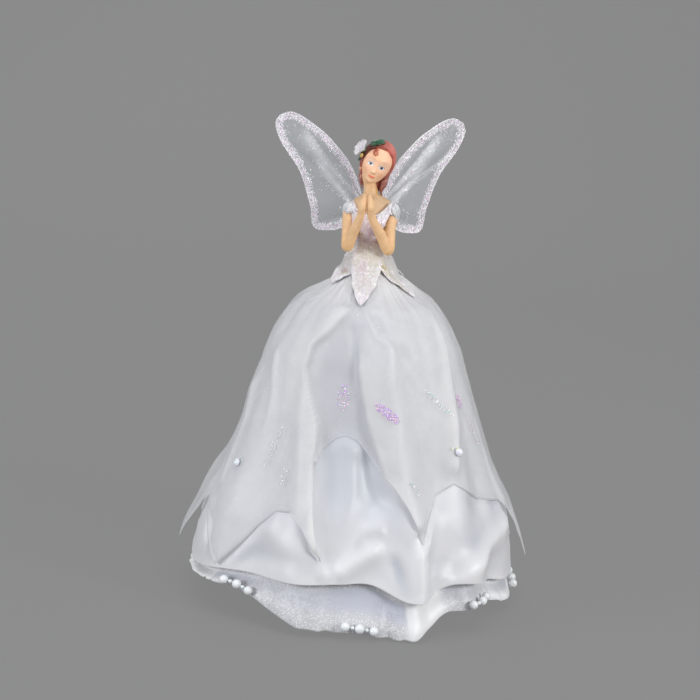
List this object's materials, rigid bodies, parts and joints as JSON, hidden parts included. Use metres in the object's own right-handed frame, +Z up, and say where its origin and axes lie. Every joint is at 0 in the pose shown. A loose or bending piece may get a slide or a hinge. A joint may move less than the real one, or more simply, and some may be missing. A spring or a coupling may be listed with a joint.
{
  "type": "angel tree topper",
  "caption": "Half-doll angel with praying hands, clear wings and a layered gathered skirt over a hollow cone that slips on a tree tip.",
  "frame": {"origin": "on the cone's axis, in the plane of the base flange's underside", "axes": "+Z up along the cone to the wing tips, -Y the way the angel faces, +X to the viewer's right"},
  "size_m": [0.2106, 0.1858, 0.2798],
  "materials": {
    "card": "plain white moulded cone",
    "organza": "sheer organza with iridescent glitter",
    "satin": "pearl satin with a soft sheen",
    "lace": "white gathered lace",
    "net": "stiff white net",
    "wing": "clear moulded film with a glittered rim",
    "skin": "painted resin, satin",
    "hair": "painted resin, auburn",
    "bodice": "pearl paint with glitter",
    "petal": "pearl paint with glitter and gold edges",
    "bead": "pearl with an iridescent coat",
    "gem": "faceted and iridescent",
    "flower": "white with fine glitter",
    "leaf": "dark green paint",
    "bud": "gold paint"
  },
  "bodies": {
    "root": {"support_cone": "card", "waist_plug": "card", "organza_overskirt": "organza", "satin_skirt": "satin", "lace_frill": "lace", "net_petticoat": "net", "waist_tie": "lace", "wing_left": "wing", "wing_right": "wing", "torso": "skin", "head": "skin", "bodice": "bodice", "hair": "hair", "arm_left": "skin", "arm_right": "skin", "sleeve_left": "bodice", "sleeve_right": "bodice", "collar_petal_left": "petal", "collar_petal_right": "petal", "peplum_petal_front": "petal", "peplum_petal_right": "petal", "peplum_petal_left": "petal", "peplum_petal_back_right": "petal", "peplum_petal_back": "petal", "peplum_petal_back_left": "petal", "bead_string_1": "bead", "bead_string_2": "bead", "bead_string_3": "bead", "bead_string_4": "bead", "bead_string_5": "bead", "bead_string_6": "bead", "bead_string_7": "bead", "bead_string_8": "bead", "gem_1": "gem", "gem_2": "gem", "gem_3": "gem", "gem_4": "gem", "hair_flower": "flower", "leaf_1": "leaf", "leaf_2": "leaf", "leaf_3": "leaf", "hair_bud": "bud", "forehead_curl": "hair"}
  },
  "joints": []
}
